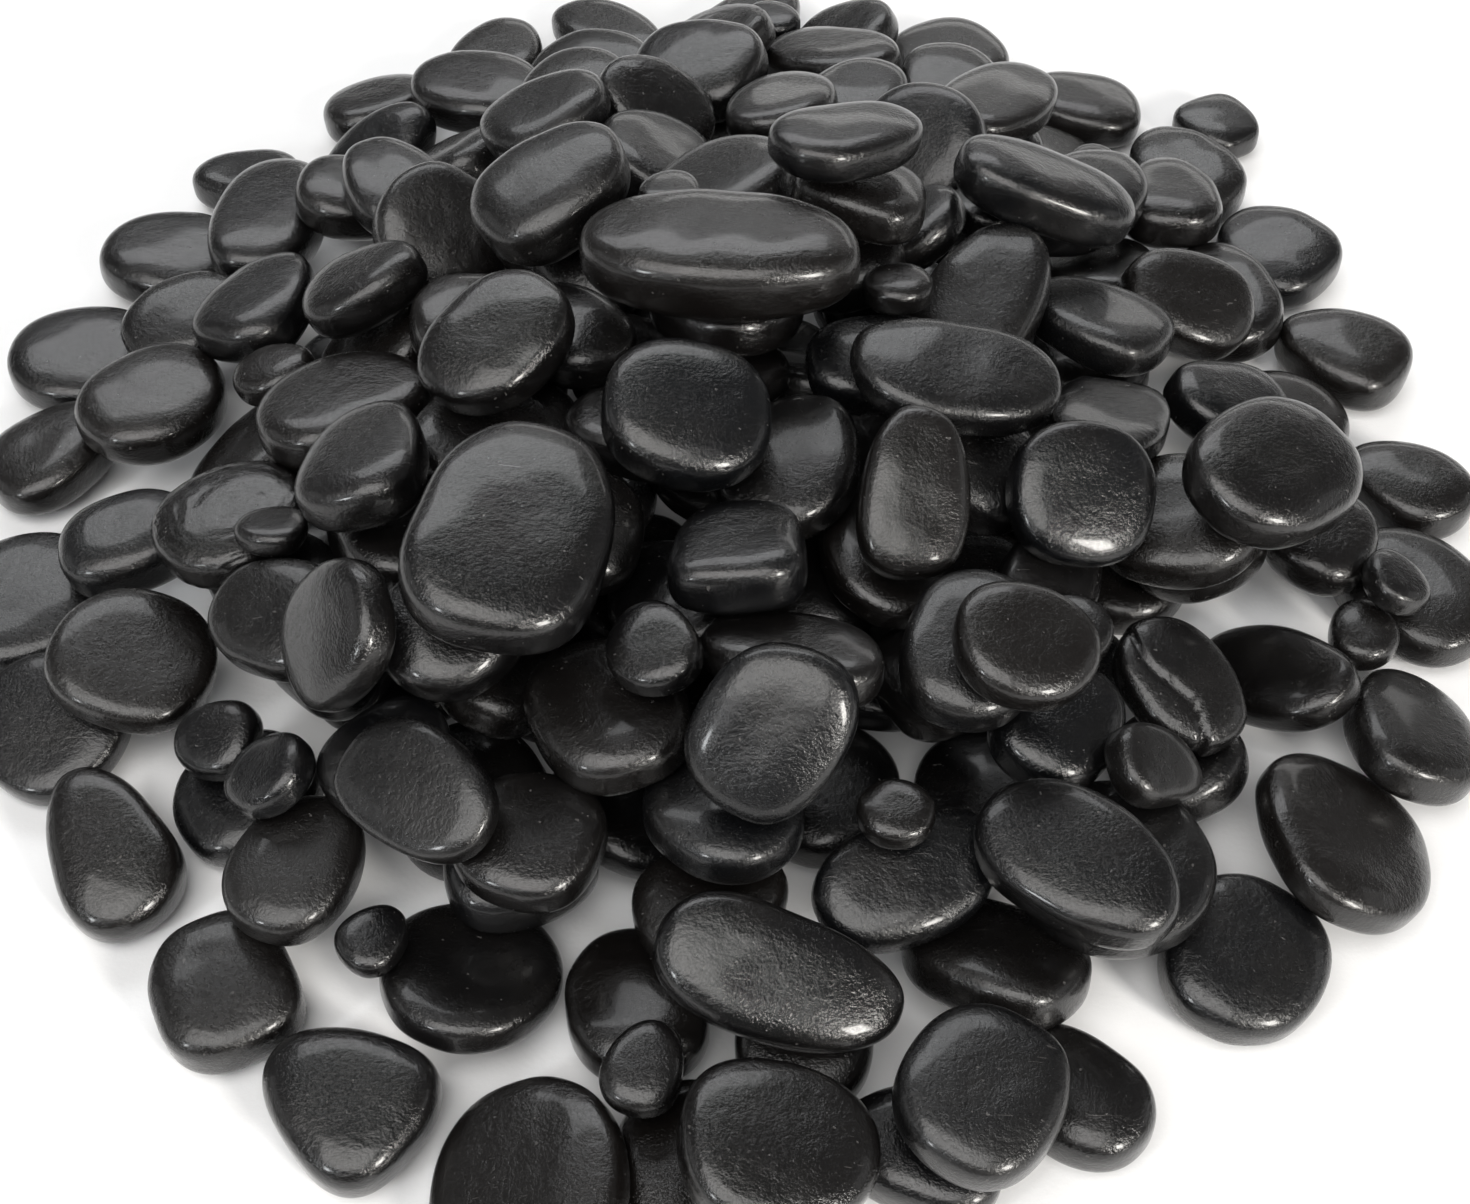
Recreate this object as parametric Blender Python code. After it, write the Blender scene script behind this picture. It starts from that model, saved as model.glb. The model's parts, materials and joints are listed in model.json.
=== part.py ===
"""A heap of polished basalt massage stones, laid stone by stone.

Every stone is a flattened pebble with its own length, width and thickness.  The stones are
lowered one after another onto the heap, and each comes to rest on the floor or on the stones
below it: buried ones first, then courses round the mound, then the loose ones side by side.
The stones that lie loose on top stay separate and can be lifted off.  The others are joined to
their neighbours into clumps.
"""
import math
import random

import bmesh
import bpy
import numpy as np
from mathutils import Matrix, Vector
from mathutils.bvhtree import BVHTree

MM = 0.001

# ---- driving dimensions, in millimetres ----
HEAP_HALF_WIDTH = 218.0     # mound profile along X, from the middle to its foot
HEAP_HALF_DEPTH = 240.0     # mound profile along Y
HEAP_CROWN = 66.0           # rise of the profile from its foot to its crown
HEAP_FOOT = 12.0            # profile height over the outermost stones
STONE_GAP = 0.3             # clearance between stones that rest on each other

# length, width, thickness, taper, bend, plan squareness, side squareness of each kind of stone
KINDS = {
    "coin": (44.0, 41.0, 17.0, 0.02, 0.00, 2.1, 2.4),
    "oval": (46.0, 37.0, 17.0, 0.06, 0.00, 2.1, 2.4),
    "egg": (42.0, 33.0, 18.0, 0.16, 0.00, 2.1, 2.3),
    "long": (54.0, 33.0, 17.0, 0.05, 0.02, 2.2, 2.4),
    "pip": (28.0, 24.0, 13.0, 0.10, 0.00, 2.0, 2.2),
    "bean": (62.0, 33.0, 19.0, 0.04, 0.10, 2.2, 2.4),
    "drop": (54.0, 31.0, 18.0, 0.26, 0.00, 2.1, 2.3),
    "block": (40.0, 37.0, 18.0, 0.08, 0.00, 2.7, 2.6),
    "wedge": (44.0, 38.0, 19.0, 0.28, 0.00, 2.3, 2.4),
    "disc": (50.0, 46.0, 15.0, 0.00, 0.00, 2.1, 2.6),
    "slab": (50.0, 33.0, 13.0, 0.05, 0.00, 2.2, 2.6),
    "brow": (63.0, 46.0, 20.0, 0.04, 0.00, 2.2, 2.4),
    "crest": (76.0, 44.0, 23.0, 0.10, 0.00, 2.1, 2.3),
}

# The courses of joined stones, from the mound's foot to its crest: the share of the mound's half
# width and depth at which the course runs, the outward lean of its stones, and their kinds in
# order, from the front round by the right.
COURSES = (
    (0.97, 4, "coin wedge egg coin disc oval oval egg egg coin oval oval coin oval long long "
              "oval egg egg coin disc oval disc disc drop block wedge disc"),
    (0.82, 10, "egg oval disc oval long egg coin oval egg oval coin long oval coin oval egg "
               "long oval coin egg disc coin oval disc oval"),
    (0.67, 14, "oval long egg oval coin wedge oval long slab egg oval coin egg oval egg long "
               "coin oval egg coin"),
    (0.52, 16, "long oval egg slab oval pip coin oval egg oval coin egg oval long egg oval"),
    (0.37, 14, "oval slab egg long oval egg coin oval egg oval egg"),
    (0.22, 10, "oval long egg coin oval egg oval"),
    (0.07, 4, "oval coin"),
)
COURSE_STRAY = 0.16         # how far a stone strays along its course, as a share of their spacing
COURSE_WEAVE = 0.025        # and in or out, as a share of the mound
LEAN_STRAY = 9.0            # degrees
COURSE_SIZES = (0.90, 1.12)

# The loose stones.  Each row is kind, size against the kind's, the loose stone it lies beside and
# the direction from that one to it (0 is +X, 90 is +Y), the heading of its long axis, and the lean
# of its top towards -Y and towards +X.  "middle" and "foot" are the mound's own.
LOOSE_PLAN = {
    "crest_long_stone": ("crest", 1.05, "middle", 0, -5, 10, 0),
    "crest_slope_stone": ("slab", 1.15, "crest_long_stone", -25, 0, -15, 0),
    "back_slant_stone": ("long", 0.90, "crest_long_stone", 50, 30, 10, 0),
    "crest_bean_stone": ("bean", 1.00, "back_slant_stone", 10, -5, 5, 0),
    "back_left_stone": ("egg", 1.15, "crest_long_stone", 145, 30, 10, 0),
    "centre_round_stone": ("coin", 1.10, "crest_long_stone", -100, 0, 30, 0),
    "centre_pillar_stone": ("long", 0.90, "crest_slope_stone", -95, 90, 30, 5),
    "brow_stone": ("brow", 1.10, "centre_round_stone", -135, 80, 30, 0),
    "centre_square_stone": ("block", 1.00, "centre_round_stone", -70, 90, 30, 0),
    "left_slope_stone": ("oval", 1.05, "crest_long_stone", 200, 45, 20, -10),
    "left_egg_stone": ("egg", 1.10, "left_slope_stone", -130, 90, 20, -15),
    "left_lower_stone": ("coin", 0.90, "left_egg_stone", -80, 0, 20, -5),
    "left_slant_stone": ("slab", 0.95, "left_lower_stone", -75, -40, 10, 0),
    "right_round_stone": ("coin", 1.00, "centre_pillar_stone", 30, 0, 18, 8),
    "right_high_stone": ("oval", 1.15, "right_round_stone", 5, 40, 10, 10),
    "right_front_stone": ("coin", 0.85, "centre_pillar_stone", -70, 0, 12, 0),
    "front_middle_stone": ("oval", 1.00, "centre_square_stone", -80, 50, 15, 0),
    "front_oval_stone": ("long", 1.05, "right_front_stone", -75, -40, 12, 0),
    "front_bean_stone": ("bean", 1.00, "front_middle_stone", -95, -15, 15, 0),
    "front_left_round_stone": ("coin", 1.05, "front_bean_stone", -90, 0, 0, 0),
    "front_right_round_stone": ("coin", 1.05, "front_left_round_stone", 5, 60, 0, 0),
    "back_right_lone_stone": ("block", 0.75, "foot", 42, -60, 0, 0),
}
LOOSE_SPREAD = 1.12         # loose stones lie this much farther apart than touching
FOOT_REACH = 1.06           # a stone at the foot lies this share of the mound from its middle

# ---- how the joined stones make clumps ----
CLUMP_RINGS = {             # clumps in a ring, its reach from the middle, its height in the crown
    "foot": (13, 0.92, 0.15),
    "flank": (11, 0.62, 0.35),
    "crown": (6, 0.25, 0.70),
    "core": (5, 0.28, 0.15),
}
BRIDGE_REACH = 12.0         # joined stones farther apart than this aren't bridged
BRIDGE_RADIUS = 1.7
BRIDGE_DEPTH = 4.0          # how far a bridge runs into each stone
BRIDGE_SIDES = 4
MOST_IN_CLUMP = 9

# ---- how the stones are laid ----
BURIED_SIDES = 6            # facets round a buried stone, a joined one and a loose one
JOINED_SIDES = 8
LOOSE_SIDES = 10
CELL = 1.0                  # cell of the height map of the heap
MAP_MARGIN = 60.0           # how far that map runs past the heap
MAP_HALF = max(HEAP_HALF_WIDTH, HEAP_HALF_DEPTH) + MAP_MARGIN
BED_PITCH = 46.0            # spacing of the buried bed stones
BED_LAYERS = 4
BED_JITTER = 5.0            # how far a buried stone lies from its row
FILL_THICKNESS = 17.0       # a stone this thick fits under a stone that would lie too low
MOST_FILLS = 2
COVER = 38.0                # depth of the visible stones over the buried bed
GAP_PITCH = 9.0             # spacing of the places where a small stone is tried in a gap
GAP_AROUND = 24.0           # half side of the patch that a gap is compared with
GAP_DEPTH = 7.0             # a gap is this much lower than the stones around it
GAP_REACH = 0.92            # part of the mound's half sizes within which gaps are filled
GAP_SIZES = (0.75, 1.05)    # of the small stones that lie in gaps, against a pip's
GAP_COVER = 1.0             # how far such a stone's middle stays under the stones around it
SLACK = 9.0                 # a stone may lie this far under the mound's profile
LEAN_STEPS = (10.0, 5.0)    # degrees, tried around a stone's lean
SHIFT_STEPS = (3.0, 1.5)    # tried around a stone's place
SETTLE_ROUNDS = 3
DRIFT_COST = 0.35           # a stone leaves its planned place only for a lower rest
LEAN_COST = 0.06
SUNK = 0.6                  # part of its thickness that a stone's middle lies under the profile
LOW_GAIN = 0.3              # what lying still lower counts against lying too high
LEAST_GAIN = 1e-5           # a smaller gain doesn't move a stone
LOOK_AROUND = 9.0           # how far around a place the bed's height is read
DROP = 3.0                  # last, exact part of a stone's way down
FLAT = 0.02                 # a face flatter than this is neither a top nor a bottom
SIZE_SPREAD = 0.05          # how far one stone differs from its kind
SEED = 7


def profile(x, y):
    """Height of the mound's profile over the floor."""
    reach = (x / HEAP_HALF_WIDTH) ** 2 + (y / HEAP_HALF_DEPTH) ** 2
    return HEAP_FOOT + HEAP_CROWN * max(0.0, 1.0 - reach)


def rotation(heading, lean_front, lean_right):
    turn = Matrix.Rotation(math.radians(heading), 3, "Z")
    front = Matrix.Rotation(math.radians(lean_front), 3, "X")
    right = Matrix.Rotation(math.radians(lean_right), 3, "Y")
    return np.array(right @ front @ turn)


def signed_power(value, power):
    return math.copysign(abs(value) ** power, value)


def ring_points(sizes, segments, levels, grow=0.0):
    """Points of a pebble on level rings, as rows of rings from its bottom to its top."""
    length, width, thickness, taper, bend, plan_power, side_power = sizes
    half = (length / 2 + grow, width / 2 + grow, thickness / 2 + grow)
    rings = []
    for level in levels:
        reach = abs(math.cos(level)) ** (2 / side_power)
        height = signed_power(math.sin(level), 2 / side_power)
        ring = []
        for step in range(segments):
            angle = 2 * math.pi * (step + 0.5) / segments
            along = reach * signed_power(math.cos(angle), 2 / plan_power)
            across = reach * signed_power(math.sin(angle), 2 / plan_power)
            across = across * (1 - taper * along) + bend * (along ** 2 - 0.4)
            ring.append((half[0] * along, half[1] * across, half[2] * height))
        rings.append(ring)
    return rings


def even_levels(count, end=math.radians(62.0)):
    """Angles of a pebble's level rings; the outer two are its flat top and bottom."""
    return [end * (2 * k / (count - 1) - 1) for k in range(count)]


def flat_caps(rings, sizes, grow=0.0):
    """Put the outer rings at the stone's full thickness, so it lies on a flat."""
    half = sizes[2] / 2 + grow
    rings[0] = [(x, y, -half) for x, y, _ in rings[0]]
    rings[-1] = [(x, y, half) for x, y, _ in rings[-1]]
    return rings


def hull_faces(points):
    """Convex hull of the points, as its corner points and its triangles."""
    shell = bmesh.new()
    for point in points:
        shell.verts.new(point)
    done = bmesh.ops.convex_hull(shell, input=shell.verts)
    spare = {item for item in done["geom_interior"] + done["geom_unused"]
             if isinstance(item, bmesh.types.BMVert)}
    bmesh.ops.delete(shell, geom=list(spare), context="VERTS")
    bmesh.ops.recalc_face_normals(shell, faces=shell.faces)
    shell.verts.index_update()
    corners = np.array([vert.co[:] for vert in shell.verts])
    faces = [[vert.index for vert in face.verts] for face in shell.faces]
    shell.free()
    return corners, faces


class Stone:
    """One pebble: its shape about its own middle, and where it lies."""

    def __init__(self, name, row, segments, levels=4):
        kind, size, x, y, self.heading, self.lean_front, self.lean_right = row
        self.name = name
        self.sizes = vary(KINDS[kind], size, random.Random(f"{SEED} {name}"))
        self.x = x
        self.y = y
        self.z = 0.0
        grow = STONE_GAP / 2
        rings = ring_points(self.sizes, 2 * segments, even_levels(2 * levels - 1), grow)
        rings = flat_caps(rings, self.sizes, grow)
        self.skin, self.skin_faces = hull_faces([point for ring in rings for point in ring])
        rings = ring_points(self.sizes, 2 * segments, even_levels(2 * levels - 1))
        rings = flat_caps(rings, self.sizes)
        self.solid, self.solid_faces = hull_faces([point for ring in rings[::2] for point in ring[::2]])
        self.normals, self.offsets = face_planes(self.skin, self.skin_faces)

    def turn(self):
        return rotation(self.heading, self.lean_front, self.lean_right)

    def place(self):
        return np.array((self.x, self.y, self.z))

    def laid(self, corners):
        return corners @ self.turn().T + self.place()

    def tree(self, corners, faces):
        return BVHTree.FromPolygons([Vector(corner) for corner in self.laid(corners)], faces)

    def columns(self, grow=0.0):
        """The map cells under the stone, with its bottom and top in each, from its middle."""
        normals = self.normals @ self.turn().T
        offsets = self.offsets + grow + normals[:, :2] @ (self.x, self.y)
        corners = self.laid(self.skin)
        low = np.floor((corners.min(axis=0)[:2] - grow + MAP_HALF) / CELL).astype(int)
        high = np.ceil((corners.max(axis=0)[:2] + grow + MAP_HALF) / CELL).astype(int) + 1
        rows = np.arange(low[0], high[0])
        cols = np.arange(low[1], high[1])
        grid_x, grid_y = np.meshgrid(rows * CELL - MAP_HALF, cols * CELL - MAP_HALF, indexing="ij")
        spots = np.stack((grid_x.ravel(), grid_y.ravel()))
        down = normals[:, 2] < -FLAT
        up = normals[:, 2] > FLAT
        bottoms = (offsets[down, None] - normals[down, :2] @ spots) / normals[down, 2:]
        tops = (offsets[up, None] - normals[up, :2] @ spots) / normals[up, 2:]
        bottom = bottoms.max(axis=0).reshape(grid_x.shape)
        top = tops.min(axis=0).reshape(grid_x.shape)
        return (slice(low[0], high[0]), slice(low[1], high[1])), bottom, top


def vary(kind, size, draw):
    """The kind's sizes, at this stone's own size and with its own small differences."""
    length, width, thickness, taper, bend, plan_power, side_power = kind
    spread = [size * (1 + draw.uniform(-SIZE_SPREAD, SIZE_SPREAD)) for _ in range(3)]
    taper += draw.uniform(-0.03, 0.05)
    plan_power += draw.uniform(0.0, 0.25)
    return (length * spread[0], width * spread[1], thickness * spread[2], taper, bend,
            plan_power, side_power)


def face_planes(corners, faces):
    """Outward unit normals and offsets of a convex body's faces, each plane once."""
    triangles = corners[np.array([face[:3] for face in faces])]
    normals = np.cross(triangles[:, 1] - triangles[:, 0], triangles[:, 2] - triangles[:, 0])
    normals /= np.linalg.norm(normals, axis=1)[:, None]
    offsets = np.einsum("ij,ij->i", normals, triangles[:, 0])
    planes = np.unique(np.round(np.column_stack((normals, offsets)), 5), axis=0)
    return planes[:, :3], planes[:, 3]


class Heap:
    """The stones laid so far, with a height map of their tops."""

    def __init__(self):
        cells = int(2 * MAP_HALF / CELL) + 1
        self.tops = np.zeros((cells, cells))
        self.stones = []
        self.trees = []

    def rest_height(self, stone):
        """Height of the stone's middle when it comes down straight onto the heap."""
        window, bottom, top = stone.columns()
        inside = bottom <= top
        return round(float(np.max(self.tops[window][inside] - bottom[inside])), 4)

    def cost(self, stone, start):
        drift = math.hypot(stone.x - start[0], stone.y - start[1])
        lean = abs(stone.lean_front - start[2]) + abs(stone.lean_right - start[3])
        over = self.rest_height(stone) - profile(stone.x, stone.y) + stone.sizes[2] * SUNK
        return max(over, over * LOW_GAIN) + DRIFT_COST * drift + LEAN_COST * lean

    def settle(self, stone):
        """Find the lean and the place, near the planned ones, where the stone lies lowest."""
        start = (stone.x, stone.y, stone.lean_front, stone.lean_right)
        best = self.cost(stone, start)
        for lean_step, shift_step in zip(LEAN_STEPS, SHIFT_STEPS):
            moves = [("lean_front", lean_step), ("lean_right", lean_step),
                     ("x", shift_step), ("y", shift_step)]
            moves += [(name, -step) for name, step in moves]
            for _ in range(SETTLE_ROUNDS):
                before = best
                for name, step in moves:
                    kept = getattr(stone, name)
                    setattr(stone, name, kept + step)
                    trial = self.cost(stone, start)
                    if trial < best - LEAST_GAIN:
                        best = trial
                    else:
                        setattr(stone, name, kept)
                if best == before:
                    break

    def touches(self, stone, near):
        skin = stone.tree(stone.skin, stone.skin_faces)
        return any(skin.overlap(self.trees[k]) for k in near)

    def lay(self, stone, settle=True):
        """Lower the stone onto the heap and leave it where it comes to rest."""
        if settle:
            self.settle(stone)
        stone.z = self.rest_height(stone)
        floor = stone.z - float(stone.laid(stone.skin)[:, 2].min())
        reach = stone.sizes[0] / 2
        near = [k for k, other in enumerate(self.stones)
                if np.linalg.norm(other.place() - stone.place()) < reach + other.sizes[0] / 2 + DROP]
        while self.touches(stone, near):
            stone.z += DROP / 4
        drop = DROP / 2
        while drop > DROP / 32:
            if stone.z - drop >= floor:
                stone.z -= drop
                if self.touches(stone, near):
                    stone.z += drop
            drop /= 2
        window, bottom, top = stone.columns(grow=CELL * 0.75)
        covered = bottom <= top
        tops = self.tops[window]
        tops[covered] = np.maximum(tops[covered], top[covered] + stone.z)
        self.stones.append(stone)
        self.trees.append(stone.tree(stone.skin, stone.skin_faces))

    def cells_of(self, names):
        """The map cells that the named stones cover."""
        covered = np.zeros(self.tops.shape, bool)
        for stone in self.stones:
            if stone.name in names:
                window, bottom, top = stone.columns(grow=CELL)
                covered[window] |= bottom <= top
        return covered

    def mean_top(self, x, y, around=LOOK_AROUND):
        """Mean height of the heap's top in a square patch around a place."""
        i = int((x + MAP_HALF) / CELL)
        j = int((y + MAP_HALF) / CELL)
        reach = int(around / CELL)
        return float(self.tops[i - reach:i + reach + 1, j - reach:j + reach + 1].mean())

    def depth_under_profile(self, x, y):
        return profile(x, y) - self.mean_top(x, y)


def bed_places():
    """Places of the buried bed stones, layer by layer, in staggered rows."""
    row_pitch = BED_PITCH * math.sqrt(3) / 2
    rows = int(HEAP_HALF_DEPTH / row_pitch)
    columns = int(HEAP_HALF_WIDTH / BED_PITCH)
    for layer in range(BED_LAYERS):
        for row in range(-rows, rows + 1):
            for column in range(-columns, columns + 1):
                stagger = ((row + layer) % 2) * BED_PITCH / 2
                yield column * BED_PITCH + stagger, row * row_pitch + layer * BED_PITCH / 3


def buried_stone(name, kinds, x, y):
    """A stone that the stones on top hide, close to a place and turned any way."""
    draw = random.Random(f"{SEED} {name}")
    stone = Stone(name, (draw.choice(kinds), 1.0, 0, 0, draw.uniform(0, 180), 0, 0), BURIED_SIDES)
    stone.x = x + draw.uniform(-BED_JITTER, BED_JITTER)
    stone.y = y + draw.uniform(-BED_JITTER, BED_JITTER)
    return stone


def lay_bed(heap):
    """Lay buried stones until the bed is one stone's cover under the mound's profile."""
    for count, (x, y) in enumerate(bed_places()):
        stone = buried_stone(f"bed {count}", ("coin", "oval", "disc"), x, y)
        if heap.depth_under_profile(stone.x, stone.y) > stone.sizes[2] + COVER:
            heap.lay(stone)


def lay_on_profile(heap, stone):
    """Lay a planned stone, with buried ones under it where the bed is still too low."""
    for count in range(MOST_FILLS):
        depth = heap.depth_under_profile(stone.x, stone.y)
        if depth > stone.sizes[2] + FILL_THICKNESS + SLACK:
            heap.lay(buried_stone(f"fill {count} under {stone.name}", ("egg",), stone.x, stone.y))
    heap.lay(stone)


def gap_places():
    """Places in staggered rows all over the mound, but for its outermost stones."""
    rows = int(HEAP_HALF_DEPTH / GAP_PITCH)
    columns = int(HEAP_HALF_WIDTH / GAP_PITCH)
    for row in range(-rows, rows + 1):
        for column in range(-columns, columns + 1):
            x, y = (column + row % 2 / 2) * GAP_PITCH, row * GAP_PITCH
            if math.hypot(x / HEAP_HALF_WIDTH, y / HEAP_HALF_DEPTH) < GAP_REACH:
                yield x, y


def fill_gaps(heap):
    """Drop small stones into the gaps between the others, clear of the way of the loose ones."""
    taken = heap.cells_of(LOOSE_PLAN)
    for count, (x, y) in enumerate(gap_places()):
        around = heap.mean_top(x, y, GAP_AROUND)
        if heap.mean_top(x, y) < around - GAP_DEPTH:
            draw = random.Random(f"{SEED} gap {count}")
            row = ("pip", draw.uniform(*GAP_SIZES), 0, 0, draw.uniform(0, 180), 0, 0)
            stone = Stone(f"gap {count}", row, BURIED_SIDES, levels=3)
            stone.x = x
            stone.y = y
            heap.settle(stone)
            window, bottom, top = stone.columns()
            low = heap.rest_height(stone) < around - GAP_COVER
            if low and not taken[window][bottom <= top].any():
                heap.lay(stone, settle=False)


def on_mound(share, turn):
    """The place at a share of the way from the mound's middle to its foot, in a direction."""
    return HEAP_HALF_WIDTH * share * math.cos(turn), HEAP_HALF_DEPTH * share * math.sin(turn)


def course_rows():
    """The joined stones' rows, spread evenly round each course and leaning outwards."""
    for course, (reach, lean, kinds) in enumerate(COURSES):
        kinds = kinds.split()
        for count, kind in enumerate(kinds):
            draw = random.Random(f"{SEED} course {course} {count}")
            step = count + course % 2 / 2 + draw.uniform(-COURSE_STRAY, COURSE_STRAY)
            turn = math.tau * step / len(kinds) - math.pi / 2
            x, y = on_mound(reach + draw.uniform(-COURSE_WEAVE, COURSE_WEAVE), turn)
            tilt = lean + draw.uniform(-LEAN_STRAY, LEAN_STRAY)
            size, heading = draw.uniform(*COURSE_SIZES), draw.uniform(0, 180)
            yield kind, size, x, y, heading, -tilt * math.sin(turn), tilt * math.cos(turn)


def half_across(kind, size, heading, direction):
    """Half the breadth of a kind of stone along a direction."""
    length, width = KINDS[kind][:2]
    turn = math.radians(direction - heading)
    return size / math.hypot(2 * math.cos(turn) / length, 2 * math.sin(turn) / width)


def loose_rows():
    """The loose stones' rows, each placed beside the one that it lies next to."""
    places = {}
    for name, (kind, size, beside, direction, heading, front, right) in LOOSE_PLAN.items():
        turn = math.radians(direction)
        if beside in places:
            near_kind, near_size, _, _, near_heading = LOOSE_PLAN[beside][:5]
            apart = LOOSE_SPREAD * (half_across(kind, size, heading, direction)
                                    + half_across(near_kind, near_size, near_heading, direction))
            x = places[beside][0] + apart * math.cos(turn)
            y = places[beside][1] + apart * math.sin(turn)
        else:
            x, y = on_mound(FOOT_REACH if beside == "foot" else 0.0, turn)
        places[name] = (x, y)
        yield name, (kind, size, x, y, heading, front, right)


def lay_heap():
    heap = Heap()
    lay_bed(heap)
    for count, row in enumerate(course_rows()):
        lay_on_profile(heap, Stone(f"joined {count}", row, JOINED_SIDES))
    for name, row in loose_rows():
        lay_on_profile(heap, Stone(name, row, LOOSE_SIDES))
    fill_gaps(heap)
    return heap


def nearest_points(stone, other, trees):
    """Two points where the solids of two stones are closest, and their distance."""
    best = (math.inf, None, None)
    for corner in stone.laid(stone.solid):
        spot, _, _, distance = trees[other.name].find_nearest(Vector(corner))
        if distance < best[0]:
            best = (distance, Vector(corner), spot)
    for corner in other.laid(other.solid):
        spot, _, _, distance = trees[stone.name].find_nearest(Vector(corner))
        if distance < best[0]:
            best = (distance, spot, Vector(corner))
    return best


def bridge_shape(stone, other, at_stone, at_other):
    """A short bar that runs from inside one stone, through the contact, into the other."""
    start = at_stone + (Vector(stone.place()) - at_stone).normalized() * BRIDGE_DEPTH
    end = at_other + (Vector(other.place()) - at_other).normalized() * BRIDGE_DEPTH
    shell = bmesh.new()
    bmesh.ops.create_cone(shell, cap_ends=True, segments=BRIDGE_SIDES, radius1=BRIDGE_RADIUS,
                          radius2=BRIDGE_RADIUS, depth=(end - start).length)
    turn = (end - start).to_track_quat("Z", "Y").to_matrix().to_4x4()
    bmesh.ops.transform(shell, matrix=Matrix.Translation((start + end) / 2) @ turn, verts=shell.verts)
    return shell


def contacts(stones, trees):
    """Pairs of joined stones that lie close enough to be bridged, the closest first."""
    pairs = []
    for k, stone in enumerate(stones):
        for other in stones[k + 1:]:
            reach = (stone.sizes[0] + other.sizes[0]) / 2 + BRIDGE_REACH
            if (Vector(stone.place()) - Vector(other.place())).length < reach:
                distance, at_stone, at_other = nearest_points(stone, other, trees)
                if distance < BRIDGE_REACH:
                    pairs.append((distance, stone, other, at_stone, at_other))
    return sorted(pairs, key=lambda pair: pair[0])


def clump_seeds(stones):
    """The stone that each clump grows from, by the clump's name."""
    seeds = {}
    for ring, (count, reach, height) in CLUMP_RINGS.items():
        for number in range(count):
            angle = 2 * math.pi * (number + 0.5) / count - math.pi / 2
            spot = (HEAP_HALF_WIDTH * reach * math.cos(angle), HEAP_HALF_DEPTH * reach * math.sin(angle),
                    HEAP_CROWN * height)
            free = [stone for stone in stones if stone not in seeds.values()]
            seeds[f"{ring}_clump_{number + 1:02d}"] = min(free, key=lambda stone: math.dist(stone.place(), spot))
    return seeds


def grow_clumps(heap):
    """Share the joined stones out among the clumps, each stone bridged to one it touches."""
    stones = [stone for stone in heap.stones if stone.name not in LOOSE_PLAN]
    trees = {stone.name: stone.tree(stone.solid, stone.solid_faces) for stone in heap.stones}
    pairs = contacts(stones, trees)
    clumps = {name: [seed] for name, seed in clump_seeds(stones).items()}
    home = {clump[0].name: name for name, clump in clumps.items()}
    bridges = {name: [] for name in clumps}
    bars = []
    for most in list(range(2, MOST_IN_CLUMP)) + [len(stones)]:
        grown = True
        while grown:
            grown = False
            for _, stone, other, at_stone, at_other in pairs:
                if (stone.name in home) == (other.name in home):
                    continue
                name = home.get(stone.name) or home[other.name]
                if len(clumps[name]) >= most:
                    continue
                bridge = bridge_shape(stone, other, at_stone, at_other)
                bar = BVHTree.FromBMesh(bridge)
                others = [tree for key, tree in trees.items() if key not in (stone.name, other.name)]
                if any(bar.overlap(tree) for tree in others + bars):
                    bridge.free()
                    continue
                new = other if stone.name in home else stone
                clumps[name].append(new)
                home[new.name] = name
                bridges[name].append(bridge)
                bars.append(bar)
                grown = True
    alone = [stone for stone in stones if stone.name not in home]
    for number, stone in enumerate(alone):
        clumps[f"lone_stone_{number + 1:02d}"] = [stone]
    return clumps, bridges


def solid_object(name, shell, material):
    """An object of the shell, which is in millimetres, on its own mesh in metres."""
    bmesh.ops.scale(shell, vec=(MM, MM, MM), verts=shell.verts)
    bmesh.ops.triangulate(shell, faces=shell.faces)
    mesh = bpy.data.meshes.new(name)
    shell.to_mesh(mesh)
    shell.free()
    mesh.materials.append(material)
    mesh.shade_smooth()
    mesh.set_sharp_from_angle(angle=math.radians(50))
    item = bpy.data.objects.new(name, mesh)
    bpy.context.scene.collection.objects.link(item)
    return item


def stone_shell(stones, drop):
    """The solids of some stones where they lie, the whole heap lowered by the drop."""
    shell = bmesh.new()
    for stone in stones:
        corners = [shell.verts.new(corner - drop) for corner in stone.laid(stone.solid)]
        for face in stone.solid_faces:
            shell.faces.new([corners[k] for k in face])
    return shell


def join_bridges(item, bridges, drop, material):
    """Make one body of the stones and their bridges."""
    shell = bmesh.new()
    for bridge in bridges:
        corners = {vert: shell.verts.new(vert.co - Vector(drop)) for vert in bridge.verts}
        for face in bridge.faces:
            shell.faces.new([corners[vert] for vert in face.verts])
        bridge.free()
    bars = solid_object(item.name + "_bridges", shell, material)
    union = item.modifiers.new("bridges", "BOOLEAN")
    union.operation = "UNION"
    union.solver = "EXACT"
    union.object = bars
    graph = bpy.context.evaluated_depsgraph_get()
    joined = bpy.data.meshes.new_from_object(item.evaluated_get(graph))
    item.modifiers.remove(union)
    item.data = joined
    bpy.data.objects.remove(bars)


def basalt():
    material = bpy.data.materials.new("polished_basalt")
    material.use_nodes = True
    shader = material.node_tree.nodes["Principled BSDF"]
    shader.inputs["Base Color"].default_value = (0.012, 0.012, 0.013, 1.0)
    shader.inputs["Roughness"].default_value = 0.36
    shader.inputs["Metallic"].default_value = 0.0
    return material


def foot_centre(stones):
    """Middle of the heap's box and its lowest point, which the whole heap is moved by."""
    corners = np.concatenate([stone.laid(stone.solid) for stone in stones])
    low = corners.min(axis=0)
    high = corners.max(axis=0)
    return np.array(((low[0] + high[0]) / 2, (low[1] + high[1]) / 2, low[2]))


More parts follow.
